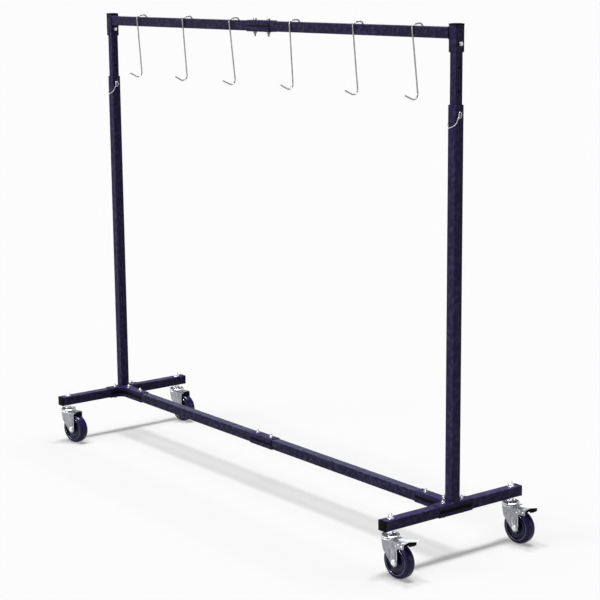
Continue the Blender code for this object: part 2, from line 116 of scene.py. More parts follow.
# Casters, from the swivel axis at floor level
TRAIL = 0.046
WHEEL_R = 0.065
FORK_HALF = 0.0285
HUB_HALF = 0.0253
LEG_SHEET = 0.0025
LEG_END = 0.0165
LEG_KNEE = (-0.015, 0.104)
LEG_SLOPE = 0.98
LEG_LEAN = 0.0075
LEG_LEAN_HEIGHT = 0.033
LEG_FOOT_TOP = 0.0555
CROWN_TOP = 0.144
CROWN_FRONT = -0.0222
STEM_R = 0.0060
RACE_R = 0.0350
RACE_LOW = 0.1475
HOUSING_FRONT = 0.044
HOUSING_END = 0.095
PEDAL_PIVOT = (0.075, 0.136)
PEDAL_SHEET = 0.0024
PAD_HALF = 0.0124
BLOCK_HALF = 0.0108

# Camera, placed from the middle of the base beam, with its lens and sensor in millimetres
CAMERA_PLACE = Vector((5.5202, -4.0643, 1.9517))
CAMERA_TURN = -52.444
CAMERA_DIP = 11.127
CAMERA_ROLL = -0.511
CAMERA_LENS = 101.24
CAMERA_REACH = 1000.0
SENSOR = 36.0

# Floor, sky and suns: each way points from the rack to the light
FLOOR_SIZE = 400.0
FLOOR_SHADE = 0.146
FLOOR_GLOW = 0.318
SKY_RIM = 1.35
SKY_TOP = 0.20
SKY_BACK = 0.20
SKY_BACK_WAY = (0.79, 0.61, 0.0)
TOP_POWER = 13.0
TOP_LEANS = {"top_front": -0.24, "top": 0.0, "top_rear": 0.24}
TOP_SPREAD = 11.0
KEY_POWER = 1.9
KEY_WAY = (-0.30, -0.87, 0.32)
KEY_SPREAD = 25.0
RIM_POWER = 0.35
RIM_WAY = (0.77, 0.58, 0.27)
RIM_SPREAD = 30.0


# ------------ places, read from the frame

def middle(node):
    low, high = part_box(node)
    return (low + high) / 2


def joint(name):
    return next(j for j in frame["joints"] if j["name"] == name)


def joint_place(name):
    return Vector(joint(name)["pos_m"])


ENDS = (("left", -1), ("right", 1))
SIDES = (("front", -1), ("rear", 1))
LEVELS = (("upper", 1), ("lower", -1))
TEE_BOLTS = ("foot_rear", "foot_front", "beam_near", "beam_far")
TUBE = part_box("lower_post_right")[1].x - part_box("lower_post_right")[0].x
POSTS = {end: middle(f"lower_post_{end}").x for end, _ in ENDS}
RACK_MIDDLE = (POSTS["left"] + POSTS["right"]) / 2
BASE_Z = middle("base_beam_left").z
PIN_Z = joint_place("lock_pin_right_turn").z
SLEEVE_BOLT_Z = PIN_Z + HOLE_STEPS[-1] * HOLE_PITCH
SHELL_IN = TUBE / 2 + FIT_GAP
SHELL_OUT = SHELL_IN + SHEET
BAR_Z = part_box("top_splice_upper")[1].z - SHELL_OUT


# ------------ shapes

def move(x, y, z):
    return Matrix.Translation((x, y, z))


def spin(degrees, axis):
    return Matrix.Rotation(math.radians(degrees), 4, axis)


def put(name, data):
    """A new object in the scene."""
    thing = bpy.data.objects.new(name, data)
    bpy.context.scene.collection.objects.link(thing)
    return thing


def skin(shape, loops, place=None, closed=False):
    """Add a skin over equal rings of points, with flat ends, or joined end to end when closed."""
    place = place or Matrix()
    rings = [[shape.verts.new(place @ Vector(point)) for point in loop] for loop in loops]
    pairs = list(zip(rings, rings[1:]))
    if closed:
        pairs.append((rings[-1], rings[0]))
    else:
        shape.faces.new(rings[0][::-1])
        shape.faces.new(rings[-1])
    for low, high in pairs:
        for i in range(len(low)):
            j = (i + 1) % len(low)
            shape.faces.new((low[i], low[j], high[j], high[i]))


def arc(centre, radius, start, end, steps):
    """Points on a circle in a plane, between two angles in degrees."""
    angles = [math.radians(start + (end - start) * i / steps) for i in range(steps + 1)]
    return [(centre[0] + radius * math.cos(a), centre[1] + radius * math.sin(a)) for a in angles]


def corners(x0, y0, x1, y1):
    """The corners of a rectangle."""
    return [(x0, y0), (x1, y0), (x1, y1), (x0, y1)]


def rounded_square(side, corner, steps=6):
    centre = side / 2 - corner
    points = []
    for quarter, (sx, sy) in enumerate(((1, 1), (-1, 1), (-1, -1), (1, -1))):
        points += arc((sx * centre, sy * centre), corner, 90 * quarter, 90 * quarter + 90, steps)
    return points


def ring(height, radius, sides, half_flats=None):
    """One ring about local Z: round, or a hexagon trimmed by the round radius."""
    points = []
    for i in range(sides):
        angle = 2 * math.pi * i / sides
        reach = radius
        if half_flats:
            reach = min(radius, half_flats / math.cos(angle % (math.pi / 3) - math.pi / 6))
        points.append((reach * math.cos(angle), reach * math.sin(angle), height))
    return points


def turned(shape, profile, sides, place=None, closed=False):
    """Turn (height, radius) steps about local Z."""
    skin(shape, [ring(z, r, sides) for z, r in profile], place, closed)


def hexagon_rings(low, high, half_flats, sides, low_chamfer=True, high_chamfer=True):
    """Rings of a hexagon prism whose ends are trimmed by a cone."""
    whole = half_flats * HEX_WHOLE
    steps = [(z * half_flats, r * half_flats) for z, r in HEX_CHAMFER]
    rings = []
    if low_chamfer:
        rings += [ring(low + z, r, sides, half_flats) for z, r in steps]
    else:
        rings.append(ring(low, whole, sides, half_flats))
    if high_chamfer:
        rings += [ring(high - z, r, sides, half_flats) for z, r in steps[::-1]]
    else:
        rings.append(ring(high, whole, sides, half_flats))
    return rings


def thread_rings(start, end, radius, sides):
    """Rings that follow a screw thread from one height to another, and run out at its end."""
    steps = round(abs(end - start) / PITCH * RINGS_PER_TURN)
    rings = []
    for k in range(steps + 1):
        z = start + (end - start) * k / steps
        run_out = min(1.0, (steps - k) / RUN_OUT_RINGS)
        loop = []
        for i in range(sides):
            angle = 2 * math.pi * i / sides
            wave = abs(2 * ((z / PITCH - i / sides) % 1) - 1)
            reach = radius - THREAD_DEPTH * (1 - wave * run_out)
            loop.append((reach * math.cos(angle), reach * math.sin(angle), z))
        rings.append(loop)
    return rings


def wire(shape, path, radius, sides, place):
    """A round wire along a path, with rounded ends and its rings carried along without twist."""
    points = [Vector(p) for p in path]
    heading = (points[1] - points[0]).normalized()
    side = heading.orthogonal().normalized()
    end_angles = (0.35, 0.8, 1.2, math.pi / 2)
    rings = []
    last = len(points) - 1
    for i, point in enumerate(points):
        way = (points[min(i + 1, last)] - points[max(i - 1, 0)]).normalized()
        turn = heading.rotation_difference(way)
        heading, side = turn @ heading, turn @ side
        across = heading.cross(side)
        lift = [(0.0, 1.0)]
        if i == 0:
            lift = [(-math.cos(a), math.sin(a)) for a in end_angles]
        if i == last:
            lift = [(math.cos(a), math.sin(a)) for a in end_angles[::-1]]
        for along, wide in lift:
            loop = []
            for k in range(sides):
                angle = 2 * math.pi * k / sides
                out = math.cos(angle) * side + math.sin(angle) * across
                loop.append(point + radius * (along * heading + wide * out))
            rings.append(loop)
    skin(shape, rings, place)


def smooth_route(places, steps):
    """Points on a smooth curve through the given places."""
    ends = [places[0], *places, places[-1]]
    route = []
    for a, b, c, d in zip(ends, ends[1:], ends[2:], ends[3:]):
        for step in range(steps):
            t = step / steps
            route.append(tuple(
                0.5 * (2 * q + (r - p) * t + (2 * p - 5 * q + 4 * r - s) * t ** 2
                       + (3 * q - p - 3 * r + s) * t ** 3)
                for p, q, r, s in zip(a, b, c, d)))
    route.append(places[-1])
    return route


def solid(shape):
    """An object that holds a shape, its faces turned outwards."""
    bmesh.ops.recalc_face_normals(shape, faces=shape.faces)
    mesh = bpy.data.meshes.new("tool")
    shape.to_mesh(mesh)
    shape.free()
    return put("tool", mesh)


def settle(thing):
    """Apply the thing's modifiers."""
    bpy.context.view_layer.update()
    graph = bpy.context.evaluated_depsgraph_get()
    mesh = bpy.data.meshes.new_from_object(thing.evaluated_get(graph))
    thing.modifiers.clear()
    old = thing.data
    thing.data = mesh
    bpy.data.meshes.remove(old)


def combine(body, tool, operation="DIFFERENCE"):
    """Cut a tool from a body, or join it on, and drop the tool."""
    step = body.modifiers.new("step", "BOOLEAN")
    step.operation = operation
    step.object = tool
    settle(body)
    mesh = tool.data
    bpy.data.objects.remove(tool)
    bpy.data.meshes.remove(mesh)
    return body


def bore(body, centre, along, radius=BOLT_HOLE, depth=THROUGH):
    """Drill a round hole through a body, along the rack's X or Z."""
    turn = spin(90, "Y") if along == "X" else Matrix()
    shape = bmesh.new()
    turned(shape, ((-depth / 2, radius), (depth / 2, radius)), 24, move(*centre) @ turn)
    combine(body, solid(shape))


def piece(name, thing, body, paint, stands_for=None, bevel=0.0, sharp=32.0):
    """Finish a piece: its name, shading, small bevels, material, body and the node it stands for."""
    thing.name = thing.data.name = name
    if bevel:
        step = thing.modifiers.new("edges", "BEVEL")
        step.width = bevel
        step.segments = 2
        step.limit_method = "ANGLE"
        step.angle_limit = math.radians(40)
        step.use_clamp_overlap = True
        settle(thing)
    thing.data.shade_smooth()
    thing.data.set_sharp_from_angle(angle=math.radians(sharp))
    thing.modifiers.new("face_weight", "WEIGHTED_NORMAL").keep_sharp = True
    material, slot = PAINTS[paint]
    thing.data.materials.append(material)
    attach(thing, body)
    if stands_for:
        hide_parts(stands_for)


# ------------ materials

class Steps:
    """A node tree, with the steps that the materials and the sky share."""

    def __init__(self, tree):
        self.nodes = tree.nodes
        self.links = tree.links

    def feed(self, node, inputs):
        """Set a node's inputs to values, or join them to sockets."""
        for name, value in inputs.items():
            if isinstance(value, bpy.types.NodeSocket):
                self.links.new(value, node.inputs[name])
            else:
                node.inputs[name].default_value = value

    def add(self, kind, inputs, **settings):
        """A node with its settings made first, then its inputs."""
        node = self.nodes.new(f"ShaderNode{kind}")
        for name, value in settings.items():
            setattr(node, name, value)
        self.feed(node, inputs)
        return node

    def spread(self, value, low=0.0, high=1.0, from_low=0.3, from_high=0.7):
        """A value, mostly between from_low and from_high, spread to another range."""
        inputs = {"Value": value, "From Min": from_low, "From Max": from_high, "To Min": low, "To Max": high}
        return self.add("MapRange", inputs).outputs["Result"]

    def product(self, first, second):
        return self.add("Math", {0: first, 1: second}, operation="MULTIPLY").outputs["Value"]

    def height(self, vector):
        """The Z part of a vector."""
        return self.add("SeparateXYZ", {"Vector": vector}).outputs["Z"]


class Paint(Steps):
    """A Principled material whose look comes from noise in the piece's own space."""

    def __init__(self, name, roughness, metallic=0.0, specular=0.5):
        self.material = bpy.data.materials.new(name)
        self.material.use_nodes = True
        super().__init__(self.material.node_tree)
        self.shader = self.nodes["Principled BSDF"]
        self.feed(self.shader, {"Metallic": metallic, "Roughness": roughness, "Specular IOR Level": specular})
        self.place = self.add("TexCoord", {}).outputs

    def noise(self, scale, detail=3.0, stretch=(1, 1, 1)):
        """Noise with a given number of grains per metre, stretched along some axes."""
        place = self.add("Mapping", {"Vector": self.place["Object"], "Scale": stretch}).outputs["Vector"]
        return self.add("TexNoise", {"Vector": place, "Scale": scale, "Detail": detail}).outputs["Fac"]

    def mix(self, factor, first, second):
        """Mix two colours, each a tuple or a socket."""
        first, second = ((*c, 1.0) if isinstance(c, tuple) else c for c in (first, second))
        inputs = {"Factor": factor, "A": first, "B": second}
        return self.add("Mix", inputs, data_type="RGBA").outputs["Result"]

    def finish(self, colour, roughness, *layers):
        """Join a colour, a roughness and a bump of (value, height in metres) layers, one on another."""
        inputs = {"Strength": 1.0}
        for value, height in layers:
            inputs.update({"Height": value, "Distance": height})
            inputs["Normal"] = self.add("Bump", inputs).outputs["Normal"]
        self.feed(self.shader, {"Base Color": colour, "Roughness": roughness, "Normal": inputs["Normal"]})
        return self.material

    def upward(self):
        """How far a face turns upwards, from -1 to 1."""
        return self.height(self.place["Normal"])

    def edge(self, most):
        """Up to the given value along sharp outer edges and 0 elsewhere, broken up by noise: partly wear,
        partly a painted highlight.
        """
        pointed = self.add("NewGeometry", {}).outputs["Pointiness"]
        sharp = self.spread(pointed, 0.0, 1.0, 0.52, 0.60)
        patch = self.spread(self.noise(60.0), 0.0, 1.0, 0.45, 0.65)
        return self.spread(self.product(sharp, patch), 0.0, most, 0.0, 1.0)


# Colours that a finish has in every material made with it
COAT_DARK = (0.0064, 0.0043, 0.0218)
COAT_LIGHT = (0.0072, 0.0050, 0.0238)
COAT_FLECK = (0.018, 0.015, 0.050)
COAT_RUB = (0.026, 0.022, 0.065)
# Upper faces painted lighter: a painted light.
COAT_LIT_TOP = (0.0123, 0.0120, 0.0268)
# Outer edges painted lighter: partly wear, partly a painted highlight.
COAT_EDGE_WEAR_HIGHLIGHT = (0.042, 0.038, 0.085)
ZINC_SCRATCH = (0.80, 0.82, 0.88)


def powder_coat(name, stretch=(1, 1, 1), rubbed=0.0, shade=1.0, lit_top=0.0):
    """Dark blue-black powder coat: orange peel, a faint mottle, edges lighter, partly rubbed and partly a
    painted highlight, and upper faces painted lighter as a painted light.
    """
    paint = Paint(name, 0.42, specular=0.06)
    # The shade scales the coat's colour: above 1 it is a painted light, below 1 a painted shade.
    low, high = (tuple(shade * c for c in colour) for colour in (COAT_DARK, COAT_LIGHT))
    body = paint.mix(paint.spread(paint.noise(9.0, 4.0)), low, high)
    body = paint.mix(paint.spread(paint.noise(420.0, 2.0), 0.0, 0.07), body, COAT_FLECK)
    if rubbed:
        streaks = paint.noise(210.0, 3.0, stretch)
        body = paint.mix(paint.spread(streaks, 0.0, rubbed, 0.60, 0.80), body, COAT_RUB)
    # Upward faces painted lighter: a painted light.
    if lit_top:
        body = paint.mix(paint.spread(paint.upward(), 0.0, lit_top, 0.6, 0.95), body, COAT_LIT_TOP)
    peel, grit = (paint.noise(620.0, 2.0), 0.00003), (paint.noise(2600.0, 1.0), 0.00001)
    # Edges lighter: partly wear, partly a painted highlight.
    return paint.finish(paint.mix(paint.edge(0.5), body, COAT_EDGE_WEAR_HIGHLIGHT),
                        paint.spread(paint.noise(35.0, 4.0), 0.34, 0.48), peel, grit), "powder_coat"


def zinc_plate(name, dark, light, stretch=(1, 1, 1), metallic=1.0, slot="zinc_plate"):
    """Bright or dull zinc: cloudy passivation, rolling lines and fine scratches."""
    paint = Paint(name, 0.30, metallic)
    clouds = paint.mix(paint.spread(paint.noise(70.0, 5.0)), dark, light)
    scratches = paint.spread(paint.noise(900.0, 2.0, stretch), 0.0, 0.5)
    return paint.finish(paint.mix(scratches, clouds, ZINC_SCRATCH),
                        paint.spread(paint.noise(160.0, 4.0, stretch), 0.22, 0.42),
                        (paint.noise(700.0, 3.0, stretch), 0.00003)), slot


def moulded(name, slot, low, high, roughness, grain, height, specular):
    """Moulded plastic or rubber: two close shades and a fine moulded grain."""
    paint = Paint(name, sum(roughness) / 2, specular=specular)
    return paint.finish(paint.mix(paint.spread(paint.noise(45.0, 4.0)), low, high),
                        paint.spread(paint.noise(120.0, 3.0), *roughness),
                        (paint.noise(grain, 2.0), height)), slot


ALONG_Z = (1.0, 1.0, 0.04)
ALONG_X = (0.04, 1.0, 1.0)
RUBBED = 0.14
# What a piece can be made of, each a material and its slot
PAINTS = {
    "steel": powder_coat("powder_coat"),
    # Post, bar and beam are lighter and darker copies of one coat: a painted light on the posts and a painted
    # shade on the bar and the beam.
    "post": powder_coat("powder_coat_rubbed_lit", ALONG_Z, RUBBED, shade=1.15),
    "bar": powder_coat("powder_coat_bar_shaded", ALONG_X, RUBBED, shade=0.78),
    "beam": powder_coat("powder_coat_beam_shaded_lit_top", ALONG_X, RUBBED, shade=0.6, lit_top=1.0),
    "zinc": zinc_plate("zinc_plate", (0.40, 0.395, 0.43), (0.68, 0.67, 0.71)),
    "bright": zinc_plate("zinc_bright", (0.72, 0.72, 0.76), (0.92, 0.92, 0.95)),
    "pressing": zinc_plate("zinc_pressing", (0.085, 0.083, 0.096), (0.205, 0.200, 0.224), ALONG_Z),
    "wire": zinc_plate("hook_wire", (0.10, 0.10, 0.095), (0.22, 0.22, 0.21), ALONG_Z, slot="hook_wire"),
    # Dark zinc where shade falls: a painted shade in the race dishes, on most bolt heads, on the top splice
    # nuts and in strips down the fork legs.
    "painted_shade": zinc_plate("zinc_painted_shade", (0.020, 0.020, 0.026), (0.060, 0.060, 0.072)),
    "pedal": zinc_plate("zinc_pedal", (0.66, 0.66, 0.70), (0.86, 0.86, 0.89), metallic=0.78),
    "gloss": moulded("wheel_bead", "black_rubber", (0.0050, 0.0038, 0.0200), (0.0090, 0.0072, 0.0320),
                     (0.12, 0.20), 900.0, 0.00001, 1.0),
    "plastic": moulded("black_plastic", "black_plastic", (0.0006, 0.0006, 0.0014), (0.0016, 0.0016, 0.0028),
                       (0.45, 0.60), 1500.0, 0.00003, 0.04),
    "tread": moulded("black_rubber", "black_rubber", (0.0048, 0.0032, 0.0230), (0.0080, 0.0058, 0.0340),
                     (0.20, 0.32), 800.0, 0.00002, 0.14),
    "core": moulded("wheel_core", "black_rubber", (0.0040, 0.0027, 0.0200), (0.0068, 0.0048, 0.0290),
                    (0.18, 0.30), 1200.0, 0.00002, 0.14),
}


# ------------ tubes

def tube(low, high, along, side, corner):
    """A hollow square tube with chamfered cut ends, running from low to high along an axis."""
    mid = (Vector(low) + Vector(high)) / 2
    axis = "XYZ".index(along)
    start, end = low[axis], high[axis]
    across = [k for k in range(3) if k != axis]

    def lift(u, v, w):
        point = [mid[k] + reach for k, reach in zip(across, (u, v))]
        point.insert(axis, w)
        return point

    c = CUT_CHAMFER
    inside = side - 2 * WALL
    steps = ((side - 2 * c, corner - c, start), (side, corner, start + c), (side, corner, end - c),
             (side - 2 * c, corner - c, end), (inside, corner - WALL, end), (inside, corner - WALL, start))
    shape = bmesh.new()
    loops = [[lift(u, v, w) for u, v in rounded_square(size, round_)] for size, round_, w in steps]
    skin(shape, loops, closed=True)
    return solid(shape)


def weld(name, body, place, stands_for=None):
    """A fillet weld round a square tube: a bead of overlapping ripples."""
    step, ripple, inset = 0.0009, 0.0034, 0.0004
    bulge = ((0.80, 0.30), (0.52, 0.56), (0.26, 0.82))
    outline = rounded_square(TUBE, CORNER, 5)
    dense = []
    for (x0, y0), (x1, y1) in zip(outline, outline[1:] + outline[:1]):
        count = max(1, round(math.hypot(x1 - x0, y1 - y0) / step))
        dense += [(x0 + (x1 - x0) * k / count, y0 + (y1 - y0) * k / count) for k in range(count)]
    loops = []
    total = 0.0
    for i, (x, y) in enumerate(dense):
        back, ahead = dense[i - 1], dense[(i + 1) % len(dense)]
        total += math.hypot(x - back[0], y - back[1])
        out = Vector((ahead[1] - back[1], back[0] - ahead[0])).normalized()
        size = WELD_LEG * (0.88 + 0.12 * abs(math.sin(total / ripple * math.pi)))
        section = [(-inset, -inset), (size, -inset)]
        section += [(size * u, size * v) for u, v in bulge] + [(-inset, size)]
        loops.append([(x + out.x * u, y + out.y * u, v) for u, v in section])
    shape = bmesh.new()
    skin(shape, loops, place, closed=True)
    piece(name, solid(shape), body, "steel", stands_for, sharp=50)


def feet():
    for end, _ in ENDS:
        node = f"foot_tube_{end}"
        foot = tube(*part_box(node), "Y", TUBE, CORNER)
        for side in ("rear", "front"):
            bore(foot, (POSTS[end], middle(f"tee_bolt_foot_{side}_{end}").y, BASE_Z), "Z")
        for side, _ in SIDES:
            stem = joint_place(f"caster_swivel_{end}_{side}")
            bore(foot, (stem.x, stem.y, BASE_Z), "Z", STEM_R + 0.0006)
        piece(node, foot, "base", "steel", node)


def beams():
    for end, _ in ENDS:
        node = f"base_beam_{end}"
        beam = tube(*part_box(node), "X", TUBE, CORNER)
        for bolt_name in ("tee_bolt_beam_near", "tee_bolt_beam_far", "base_splice_bolt"):
            bore(beam, (middle(f"{bolt_name}_{end}").x, 0, BASE_Z), "Z")
        piece(node, beam, "base", "beam", node)


def posts():
    for end, _ in ENDS:
        x = POSTS[end]
        node = f"lower_post_{end}"
        post = tube(*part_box(node), "Z", TUBE, CORNER)
        bore(post, (x, 0, PIN_Z), "X", PIN_HOLE)
        piece(node, post, "base", "post", node)
        weld(f"weld_post_{end}", "base", move(x, 0, BASE_Z + SHELL_OUT))
        node = f"inner_post_{end}"
        low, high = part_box(node)
        inner = tube(low, high, "Z", high.x - low.x, CORNER * 0.9)
        for step in HOLE_STEPS:
            bore(inner, (x, 0, PIN_Z + step * HOLE_PITCH), "X", PIN_HOLE)
        piece(node, inner, "upper_frame", "post", node)


def top_bars():
    half = TUBE / 2
    for end, sign in ENDS:
        node = f"top_bar_{end}"
        low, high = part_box(node)
        x = POSTS[end]
        sleeve_face = x - sign * half
        joint_face = high.x if sign < 0 else low.x
        start, stop = sorted((sleeve_face, joint_face))
        bar = tube((start, -half, BAR_Z - half), (stop, half, BAR_Z + half), "X", TUBE, CORNER)
        bore(bar, (middle(f"top_splice_bolt_{end}").x, 0, BAR_Z), "Z")
        piece(node, bar, "upper_frame", "bar", node)
        sleeve = tube((x - half, -half, low.z), (x + half, half, high.z), "Z", TUBE, CORNER)
        bore(sleeve, (x, 0, SLEEVE_BOLT_Z), "X")
        piece(f"top_sleeve_{end}", sleeve, "upper_frame", "steel", node)
        weld(f"weld_sleeve_{end}", "upper_frame", move(sleeve_face, 0, BAR_Z) @ spin(-90 * sign, "Y"), node)


def caps():
    """Domed square caps with a moulded rim, pressed into the tube ends."""
    plate_top, lip, plug = 0.005, 0.0006, 0.014
    side = TUBE + 2 * lip
    inside = TUBE - 2 * WALL - 2 * FIT_GAP
    profile = [(-plug, inside - 0.002, 0.0012), (-plug + 0.002, inside, 0.0014), (FIT_GAP, inside, 0.0014),
               (FIT_GAP, side, CORNER)]
    dome = ((-0.0018, 0.0), (-0.0010, 0.0008), (-0.0004, 0.0022), (-0.0001, 0.0045), (0.0002, 0.0080),
            (0.0009, 0.0160), (0.0012, 0.0260))
    profile += [(plate_top + rise, side - inset, CORNER) for rise, inset in dome]

    def cap(name, place, body):
        shape = bmesh.new()
        loops = [[(x, y, z) for x, y in rounded_square(size, corner)] for z, size, corner in profile]
        skin(shape, loops, place)
        piece(name, solid(shape), body, "plastic", name)

    for end, _ in ENDS:
        for side_name, sign in SIDES:
            foot_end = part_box(f"foot_tube_{end}")[1 if sign > 0 else 0].y
            place = move(POSTS[end], foot_end, BASE_Z) @ spin(-90 * sign, "X")
            cap(f"foot_cap_{end}_{side_name}", place, "base")
        cap(f"sleeve_cap_{end}", move(POSTS[end], 0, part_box(f"top_bar_{end}")[1].z), "upper_frame")


# ------------ pressed clamps

def tee_outline(half, head_half, leg, fillet):
    """A T seen from above: its head runs along Y and its leg along +X, the inner corners rounded."""
    near = half + fillet
    outline = [(-half, head_half), (-half, 0.0), (-half, -head_half), (half, -head_half)]
    outline += arc((near, -near), fillet, 180, 90, 10)
    outline += [(leg, -half), (leg, half)]
    outline += arc((near, near), fillet, 270, 180, 10)
    outline += [(half, head_half)]
    return outline


def bend_rings(outline_at, reach, bend, low):
    """Rings up a pressed side wall and round its bend to the flat top."""
    rings = [[(x, y, low) for x, y in outline_at(0.0)]]
    for inset, z in arc((bend, reach - bend), bend, 180, 90, 5):
        rings.append([(x, y, z) for x, y in outline_at(inset)])
    return rings


def tee_slot_shadow(end, place, head_half, leg, split):
    """The black strip that fills the slot between the two shells of a T clamp: a painted shadow."""
    top = split + SLOT_LAP
    outer = tee_outline(SHELL_IN + SLOT_DEEP, head_half - 0.001, leg - 0.001, TEE_FILLET + SHEET - SLOT_DEEP)
    inner = tee_outline(SHELL_IN + SLOT_GAP, head_half - 0.002, leg - 0.002, TEE_FILLET + SHEET)
    shape = bmesh.new()
    band = ((outer, -top), (outer, top), (inner, top), (inner, -top))
    skin(shape, [[(x, y, z) for x, y in outline] for outline, z in band], place, closed=True)
    piece(f"tee_slot_shadow_{end}", solid(shape), "base", "plastic", sharp=40)


def tee_shells():
    past = 0.01
    for end, sign in ENDS:
        low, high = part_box(f"tee_shell_upper_{end}")
        head_half = high.y
        leg = (high.x - low.x) - SHELL_OUT
        split = low.z - BASE_Z + TEE_SLOT_ROOM
        inwards = move(POSTS[end], 0, BASE_Z) @ spin(0 if sign < 0 else 180, "Z")
        tee_slot_shadow(end, inwards, head_half, leg, split)
        for level, flip in LEVELS:
            node = f"tee_shell_{level}_{end}"
            place = inwards @ spin(0 if flip > 0 else 180, "X")
            outer, hollow = bmesh.new(), bmesh.new()
            skin(outer, bend_rings(lambda d: tee_outline(SHELL_OUT - d, head_half, leg, TEE_FILLET + d),
                                   SHELL_OUT, SHEET_BEND, split))
            skin(hollow, bend_rings(lambda d: tee_outline(SHELL_IN - d, head_half + past, leg + past,
                                                          TEE_FILLET + SHEET + d),
                                    SHELL_IN, SHEET_BEND - SHEET, split - past))
            for shape in (outer, hollow):
                bmesh.ops.transform(shape, matrix=place, verts=shape.verts)
            shell = combine(solid(outer), solid(hollow))
            for bolt_name in TEE_BOLTS:
                spot = middle(f"tee_bolt_{bolt_name}_{end}")
                bore(shell, (spot.x, spot.y, BASE_Z + flip * SHELL_OUT), "Z", depth=THROUGH_SHEET)
            piece(node, shell, "base", "steel", node, bevel=0.0005)


def both_sides(near, far):
    """A span of Y on either side of the middle, each from low to high."""
    return [sorted((side * near, side * far)) for side in (-1, 1)]


def splice_section(split):
    """Half a splice seen from its end: an inverted U with rounded bends."""
    out_centre = SHELL_OUT - SHEET_BEND
    bend = SHEET_BEND - SHEET
    in_centre = SHELL_IN - bend
    section = [(SHELL_IN, split), (SHELL_OUT, split)]
    section += arc((out_centre, out_centre), SHEET_BEND, 0, 90, 5)
    section += [(-y, z) for y, z in section[:1:-1]]
    section += [(-SHELL_OUT, split), (-SHELL_IN, split)]
    section += [(-y, z) for y, z in arc((in_centre, in_centre), bend, 0, 90, 4)]
    section += arc((in_centre, in_centre), bend, 90, 0, 4)
    return section


def splice_shells():
    for name, centre_z, body in (("base", BASE_Z, "base"), ("top", BAR_Z, "upper_frame")):
        for level, flip in LEVELS:
            node = f"{name}_splice_{level}"
            low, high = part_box(node)
            gap = low.z - centre_z if flip > 0 else centre_z - high.z
            split = gap + SPLICE_SLOT_ROOM[name]
            section = splice_section(split)
            shape = bmesh.new()
            skin(shape, [[(x, flip * y, centre_z + flip * z) for y, z in section] for x in (low.x, high.x)])
            shell = solid(shape)
            for end, _ in ENDS:
                spot = middle(f"{name}_splice_bolt_{end}")
                bore(shell, (spot.x, 0, centre_z + flip * SHELL_OUT), "Z", depth=THROUGH_SHEET)
            piece(node, shell, body, "steel", node, bevel=0.0005)
        # Black strips in the slots between the two splice shells: a painted shadow.
        top = split + SLOT_LAP
        shape = bmesh.new()
        for low_y, high_y in both_sides(SHELL_IN + SLOT_GAP, SHELL_IN + SLOT_DEEP):
            strip = corners(low_y, -top, high_y, top)
            skin(shape, [[(x, y, centre_z + z) for y, z in strip] for x in (low.x + 0.001, high.x - 0.001)])
        piece(f"{name}_slot", solid(shape), body, "plastic", sharp=40)


# ------------ fasteners

def bolt(name, body, place, grip, thread, washer=WASHER_R, nut_paint="zinc", head_paint="painted_shade"):
    """Hexagon bolt with its head below, a washer at each end, its nut above and its thread showing."""
    sides = 48
    half = grip / 2
    head = half + WASHER
    nut_top = head + NUT_HEIGHT
    top = nut_top + thread
    shape, under = bmesh.new(), bmesh.new()
    rings = [ring(-head, BOLT_R, sides), ring(half, BOLT_R, sides)]
    rings += thread_rings(half + 0.0002, top - 0.0006, BOLT_R, sides)
    rings.append(ring(top, BOLT_R - THREAD_DEPTH - 0.0004, sides))
    skin(shape, rings, place)
    skin(under, hexagon_rings(-head - HEAD_HEIGHT, -head, HEX_HALF, sides, high_chamfer=False), place)
    for sign, holder in ((-1, under), (1, shape)):
        flat = ((half, BOLT_HOLE), (half, washer), (head - 0.0003, washer), (head, washer - 0.0003),
                (head, BOLT_HOLE))
        turned(holder, [(sign * z, r) for z, r in flat], sides, place, closed=True)
    nut = hexagon_rings(head, nut_top, HEX_HALF, sides)
    nut += [ring(nut_top, BOLT_R + 0.0006, sides), ring(nut_top - 0.0006, BOLT_R + 0.0001, sides),
            ring(head, BOLT_R + 0.0001, sides)]
    skin(shape, nut, place, closed=True)
    piece(name, solid(shape), body, nut_paint, name, sharp=28)
    # The head and its washer are a piece of their own, by default in dark zinc: a painted shade.
    piece(f"{name}_head", solid(under), body, head_paint, name, sharp=28)


def bolts():
    clamp = 2 * (SHELL_OUT + FIT_GAP)
    short, long, narrow_washer = 0.006, 0.011, 0.0072
    for end, _ in ENDS:
        for spot in TEE_BOLTS:
            name = f"tee_bolt_{spot}_{end}"
            at = middle(name)
            bolt(name, "base", move(at.x, at.y, BASE_Z), clamp, short)
        name = f"base_splice_bolt_{end}"
        bolt(name, "base", move(middle(name).x, 0, BASE_Z), clamp, short)
        name = f"top_splice_bolt_{end}"
        place = move(middle(name).x, 0, BAR_Z) @ spin(180, "X")
        # Both ends of the top splice bolts are dark zinc: a painted shade.
        bolt(name, "upper_frame", place, clamp, long, nut_paint="painted_shade")
        name = f"sleeve_bolt_{end}"
        place = move(POSTS[end], 0, SLEEVE_BOLT_Z) @ spin(-90, "Y")
        bolt(name, "upper_frame", place, TUBE + 2 * FIT_GAP, short, narrow_washer, head_paint="zinc")


# ------------ hooks and lock pins

